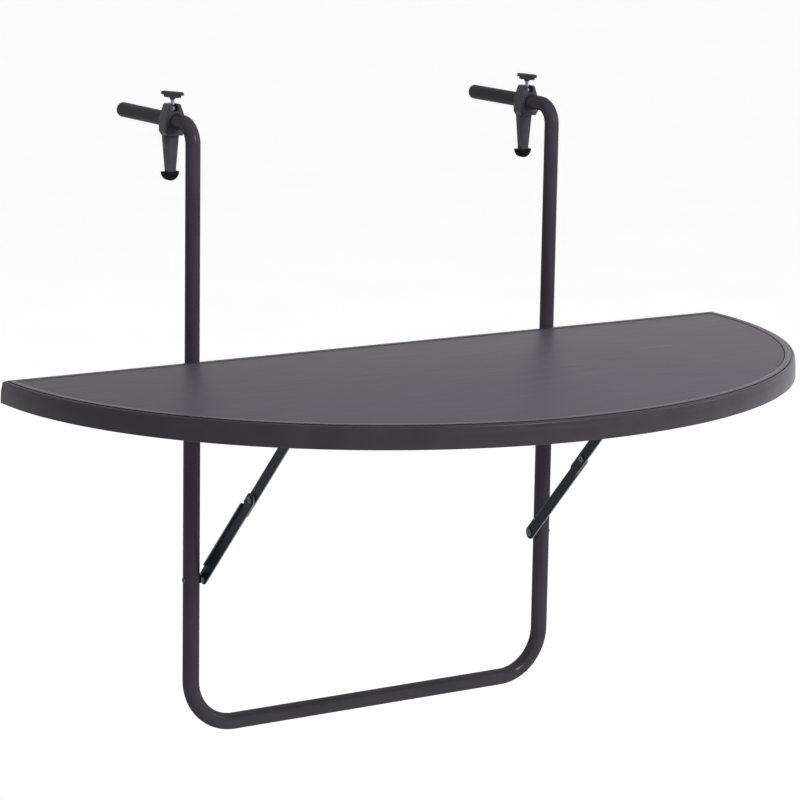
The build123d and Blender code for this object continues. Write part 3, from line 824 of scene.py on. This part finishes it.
# The feet of the clamps: half-round shoes of black rubber, moulded with rounded edges and pushed over the
# ends of the legs.
foot_edge = 1.2 * mm
foot_steps = 40
rubber_dark, rubber_light = screen_colour(22, 22, 23), screen_colour(30, 30, 31)
foot_rubber = start_finish("foot_rubber", {"Specular IOR Level": 0.05})
vary(foot_rubber, grain(foot_rubber, waves=200, detail=4), "Base Color", rubber_dark, rubber_light)
vary(foot_rubber, grain(foot_rubber, waves=700), "Roughness", low=0.6, high=0.75)
relief(foot_rubber, grain(foot_rubber, waves=1200, detail=3), depth=0.04 * mm)


def foot_points(low, high):
    """Points of a half disc with rounded edges.

    Half circles are stacked along Y, and a quarter round draws them in at both faces.
    """
    radius = (high.x - low.x) / 2
    inset, offset = arc(foot_edge, foot_edge, foot_edge, 270, 180)
    inset, y = np.concatenate((inset, inset[::-1])), np.concatenate((low.y + offset, high.y - offset[::-1]))
    angle = np.linspace(0, np.pi, foot_steps)
    x = (low.x + high.x) / 2 + (radius - inset)[:, None] * np.cos(angle)
    z = high.z - (radius - inset)[:, None] * np.sin(angle)
    return np.stack(np.broadcast_arrays(x, y[:, None], z), axis=-1)


for side in sides:
    points = foot_points(*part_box("jaw_foot_" + side))
    foot = surface("jaw_foot." + side, points, closed_columns=True, capped=True)
    settle(foot, foot_rubber, "clamp_" + side, "foot_rubber", "jaw_foot_" + side)

# The captive nuts: zinc-plated steel hexagons. Each lies in a slot of its collar, which keeps it from
# turning, and takes the thumb screw.
clamp_nut_bore = 2.58 * mm
for side in sides:
    nut_low, nut_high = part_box("clamp_nut_" + side)
    nut_x, nut_y, _ = centre_of("clamp_nut_" + side)
    flats = nut_high.x - nut_low.x
    points = nut_points((nut_x, nut_y, 0), (0, 0, 1), flats, nut_low.z, nut_high.z, clamp_nut_bore)
    nut = surface("clamp_nut." + side, points, closed_rows=True, closed_columns=True)
    settle(nut, zinc_steel, "clamp_" + side, "zinc_steel", "clamp_nut_" + side)

# The pressure pads: small discs of natural nylon. Each sits on the tip of a thumb screw, which presses it on
# the arm.
nylon_dark, nylon_light = screen_colour(205, 202, 192), screen_colour(218, 215, 206)
pad_nylon = start_finish("pad_nylon", {"Subsurface Weight": 0.1, "Subsurface Scale": 0.002})
vary(pad_nylon, grain(pad_nylon, waves=300, detail=3), "Base Color", nylon_dark, nylon_light)
vary(pad_nylon, grain(pad_nylon, waves=900), "Roughness", low=0.4, high=0.55)
for side in sides:
    finish_node("pressure_pad_" + side, pad_nylon)

# The thumb screws: zinc-plated steel with a rolled thread. Each runs in its collar's nut, and a spigot at the
# tip turns in the pad.
thread_pitch = 0.8 * mm
thread_depth = 0.45 * mm
thread_start = 0.6 * mm
thread_rows = 10
thread_steps = 40
flank_gain = 1.15
crest_width = 0.1
spigot_radius = 1.4 * mm
for side in sides:
    screw_low, screw_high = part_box("clamp_screw_" + side)
    screw_x, screw_y, _ = centre_of("clamp_screw_" + side)
    shank_radius = (screw_high.x - screw_low.x) / 2
    spigot_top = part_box("pressure_pad_" + side)[1].z
    thread_z = np.arange(spigot_top + thread_start, screw_high.z, thread_pitch / thread_rows)
    # The thread is a triangle wave that climbs one pitch a turn, with its crests and roots cut flat.
    turn = np.linspace(0, 1, thread_steps, endpoint=False)
    wave = np.abs(2 * ((thread_z[:, None] / thread_pitch - turn) % 1) - 1)
    thread_r = shank_radius - thread_depth * np.clip(flank_gain * wave - crest_width, 0, 1)
    spigot_r = np.array([pole, spigot_radius, spigot_radius, shank_radius - thread_depth])
    radii = np.vstack((np.repeat(spigot_r[:, None], thread_steps, axis=1), thread_r))
    heights = np.concatenate(([screw_low.z, screw_low.z, spigot_top, spigot_top], thread_z))
    on_axis = (screw_x, screw_y, 0)
    screw = turned("clamp_screw." + side, on_axis, (0, 0, 1), radii, heights, around=thread_steps)
    settle(screw, zinc_steel, "thumb_screw_" + side, "zinc_steel", "clamp_screw_" + side)

# The knobs of the thumb screws: T-shaped bars of the collars' plastic, moulded on the screws' heads with a
# round neck and a shorter hub. A fine groove runs round the bar. The lists go up ring by ring, in mm.
knob_turn = {"left": -66, "right": -79}
knob_half_length = np.array([
    3.0, 3.3, 3.3, 9.5, 11.2, 11.5, 11.5, 12.0, 14.9, 15.5, 15.5, 15.1, 15.1, 15.5, 15.4, 14.6, 12.5,
])
knob_half_width = np.array([
    3.0, 3.3, 3.3, 3.8, 4.1, 4.2, 4.2, 4.0, 4.05, 4.2, 4.2, 3.85, 3.85, 4.2, 4.0, 3.2, 1.2,
])
knob_heights = np.array([
    0.0, 0.3, 1.8, 2.0, 2.2, 2.6, 4.5, 4.9, 4.9, 5.4, 6.7, 6.9, 7.1, 7.3, 8.2, 8.9, 9.1,
])
neck_height = 2.0
neck_corner = 1.0
bar_corner = 0.55
knob_steps = 64
knob_corner = np.where(knob_heights < neck_height, neck_corner, bar_corner)
for side in sides:
    knob_x, knob_y, _ = centre_of("clamp_knob_" + side)
    knob_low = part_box("clamp_knob_" + side)[0]
    # A ring is u = half length * cos a and v = half width * sin a, with each cosine and sine raised to the
    # corner's power: 1 gives the round neck, and less gives a bar with rounded corners.
    angle = np.linspace(0, 2 * np.pi, knob_steps, endpoint=False)
    lobe_u, lobe_v = (np.sign(f) * np.abs(f) ** knob_corner[:, None] for f in (np.cos(angle), np.sin(angle)))
    u, v = mm * knob_half_length[:, None] * lobe_u, mm * knob_half_width[:, None] * lobe_v
    turn = math.radians(knob_turn[side])
    x = knob_x + u * math.cos(turn) - v * math.sin(turn)
    y = knob_y + u * math.sin(turn) + v * math.cos(turn)
    z = knob_low.z + mm * knob_heights[:, None]
    points = np.stack(np.broadcast_arrays(x, y, z), axis=-1)
    knob = surface("clamp_knob." + side, points, closed_columns=True, capped=True)
    settle(knob, clamp_plastic, "thumb_screw_" + side, "clamp_plastic", "clamp_knob_" + side)

# The studio: a pale floor a handrail's height below the hooks, even light from a white surround, a tall soft
# light in front and a weaker one at the right. The floor glows for the camera and still takes the shadow.
floor_z = -1.02
floor_half = 30.0
floor_glow = 0.64
surround_light = 0.31


def background_rays(nodes, links):
    """1 for the rays that see the background: the camera's own, and those that gloss and glass send on."""
    path = nodes.new("ShaderNodeLightPath")
    seen = path.outputs["Is Camera Ray"]
    for ray in ("Is Glossy Ray", "Is Transmission Ray"):
        either = nodes.new("ShaderNodeMath")
        either.operation = "MAXIMUM"
        links.new(seen, either.inputs[0])
        links.new(path.outputs[ray], either.inputs[1])
        seen = either.outputs["Value"]
    return seen


floor_dark, floor_light = screen_colour(240, 240, 240), screen_colour(246, 246, 246)
floor_paint = start_finish("floor_paint", {"Roughness": 0.8, "Specular IOR Level": 0.2})
vary(floor_paint, grain(floor_paint, waves=3, detail=3), "Base Color", floor_dark, floor_light)
nodes, links = floor_paint.node_tree.nodes, floor_paint.node_tree.links
glow = nodes.new("ShaderNodeEmission")
glow_strength = nodes.new("ShaderNodeMath")
glow_strength.operation = "MULTIPLY"
glow_strength.inputs[1].default_value = floor_glow
lit_and_glowing = nodes.new("ShaderNodeAddShader")
links.new(background_rays(nodes, links), glow_strength.inputs[0])
links.new(glow_strength.outputs["Value"], glow.inputs["Strength"])
links.new(nodes["Principled BSDF"].outputs["BSDF"], lit_and_glowing.inputs[0])
links.new(glow.outputs["Emission"], lit_and_glowing.inputs[1])
links.new(lit_and_glowing.outputs["Shader"], nodes["Material Output"].inputs["Surface"])
floor_x, floor_y = np.meshgrid((-floor_half, floor_half), (-floor_half, floor_half))
floor = surface("floor", np.stack((floor_x, floor_y, np.full((2, 2), floor_z)), axis=-1))
floor.data.materials.append(floor_paint)

world = bpy.data.worlds.new("studio")
bpy.context.scene.world = world
world.use_nodes = True
nodes, links = world.node_tree.nodes, world.node_tree.links
surround = nodes["Background"]
surround.inputs["Color"].default_value = (1, 1, 1, 1)
surround.inputs["Strength"].default_value = surround_light
backdrop = nodes.new("ShaderNodeBackground")
backdrop.inputs["Color"].default_value = (1, 1, 1, 1)
by_ray = nodes.new("ShaderNodeMixShader")
links.new(background_rays(nodes, links), by_ray.inputs["Fac"])
links.new(surround.outputs["Background"], by_ray.inputs[1])
links.new(backdrop.outputs["Background"], by_ray.inputs[2])
links.new(by_ray.outputs["Shader"], nodes["World Output"].inputs["Surface"])


def soft_box(name, place, target, width, height, watts):
    """A flat studio light at a place, turned towards a target."""
    lamp = bpy.data.lights.new(name, "AREA")
    lamp.shape = "RECTANGLE"
    lamp.size = width
    lamp.size_y = height
    lamp.energy = watts
    light = bpy.data.objects.new(name, lamp)
    light.location = place
    light.rotation_euler = (Vector(target) - Vector(place)).to_track_quat("-Z", "Y").to_euler()
    bpy.context.scene.collection.objects.link(light)


table_middle = (0, -0.2, -0.35)
soft_box("key", place=(0.8, -3.1, 1.5), target=table_middle, width=0.7, height=1.6, watts=62)
soft_box("fill", place=(3.0, -1.6, 0.9), target=table_middle, width=0.6, height=1.6, watts=18)

# The camera stands where the photograph was taken from: in front and to the left, a little above the top and
# far away, with a long lens. Its place, its turn and its lens were fitted to the object's edges.
view_azimuth = math.radians(32.542)
view_elevation = math.radians(11.438)
view_roll = math.radians(0.978)
view_place = Vector((-2.0363, -3.25725, 0.44075))
focal_pixels = 3250.3
image_pixels = 800
sensor_width = 36.0
ahead = Vector((
    math.sin(view_azimuth) * math.cos(view_elevation),
    math.cos(view_azimuth) * math.cos(view_elevation),
    -math.sin(view_elevation),
))
level = Vector((math.cos(view_azimuth), -math.sin(view_azimuth), 0))
upward = level.cross(ahead)
right = math.cos(view_roll) * level + math.sin(view_roll) * upward
up = math.cos(view_roll) * upward - math.sin(view_roll) * level
camera = bpy.data.objects.new("camera", bpy.data.cameras.new("camera"))
camera.data.sensor_width = sensor_width
camera.data.lens = focal_pixels * sensor_width / image_pixels
camera.matrix_world = Matrix((
    (right.x, up.x, -ahead.x, view_place.x),
    (right.y, up.y, -ahead.y, view_place.y),
    (right.z, up.z, -ahead.z, view_place.z),
    (0, 0, 0, 1),
))
bpy.context.scene.collection.objects.link(camera)
bpy.context.scene.camera = camera
bpy.context.scene.view_settings.view_transform = "Standard"
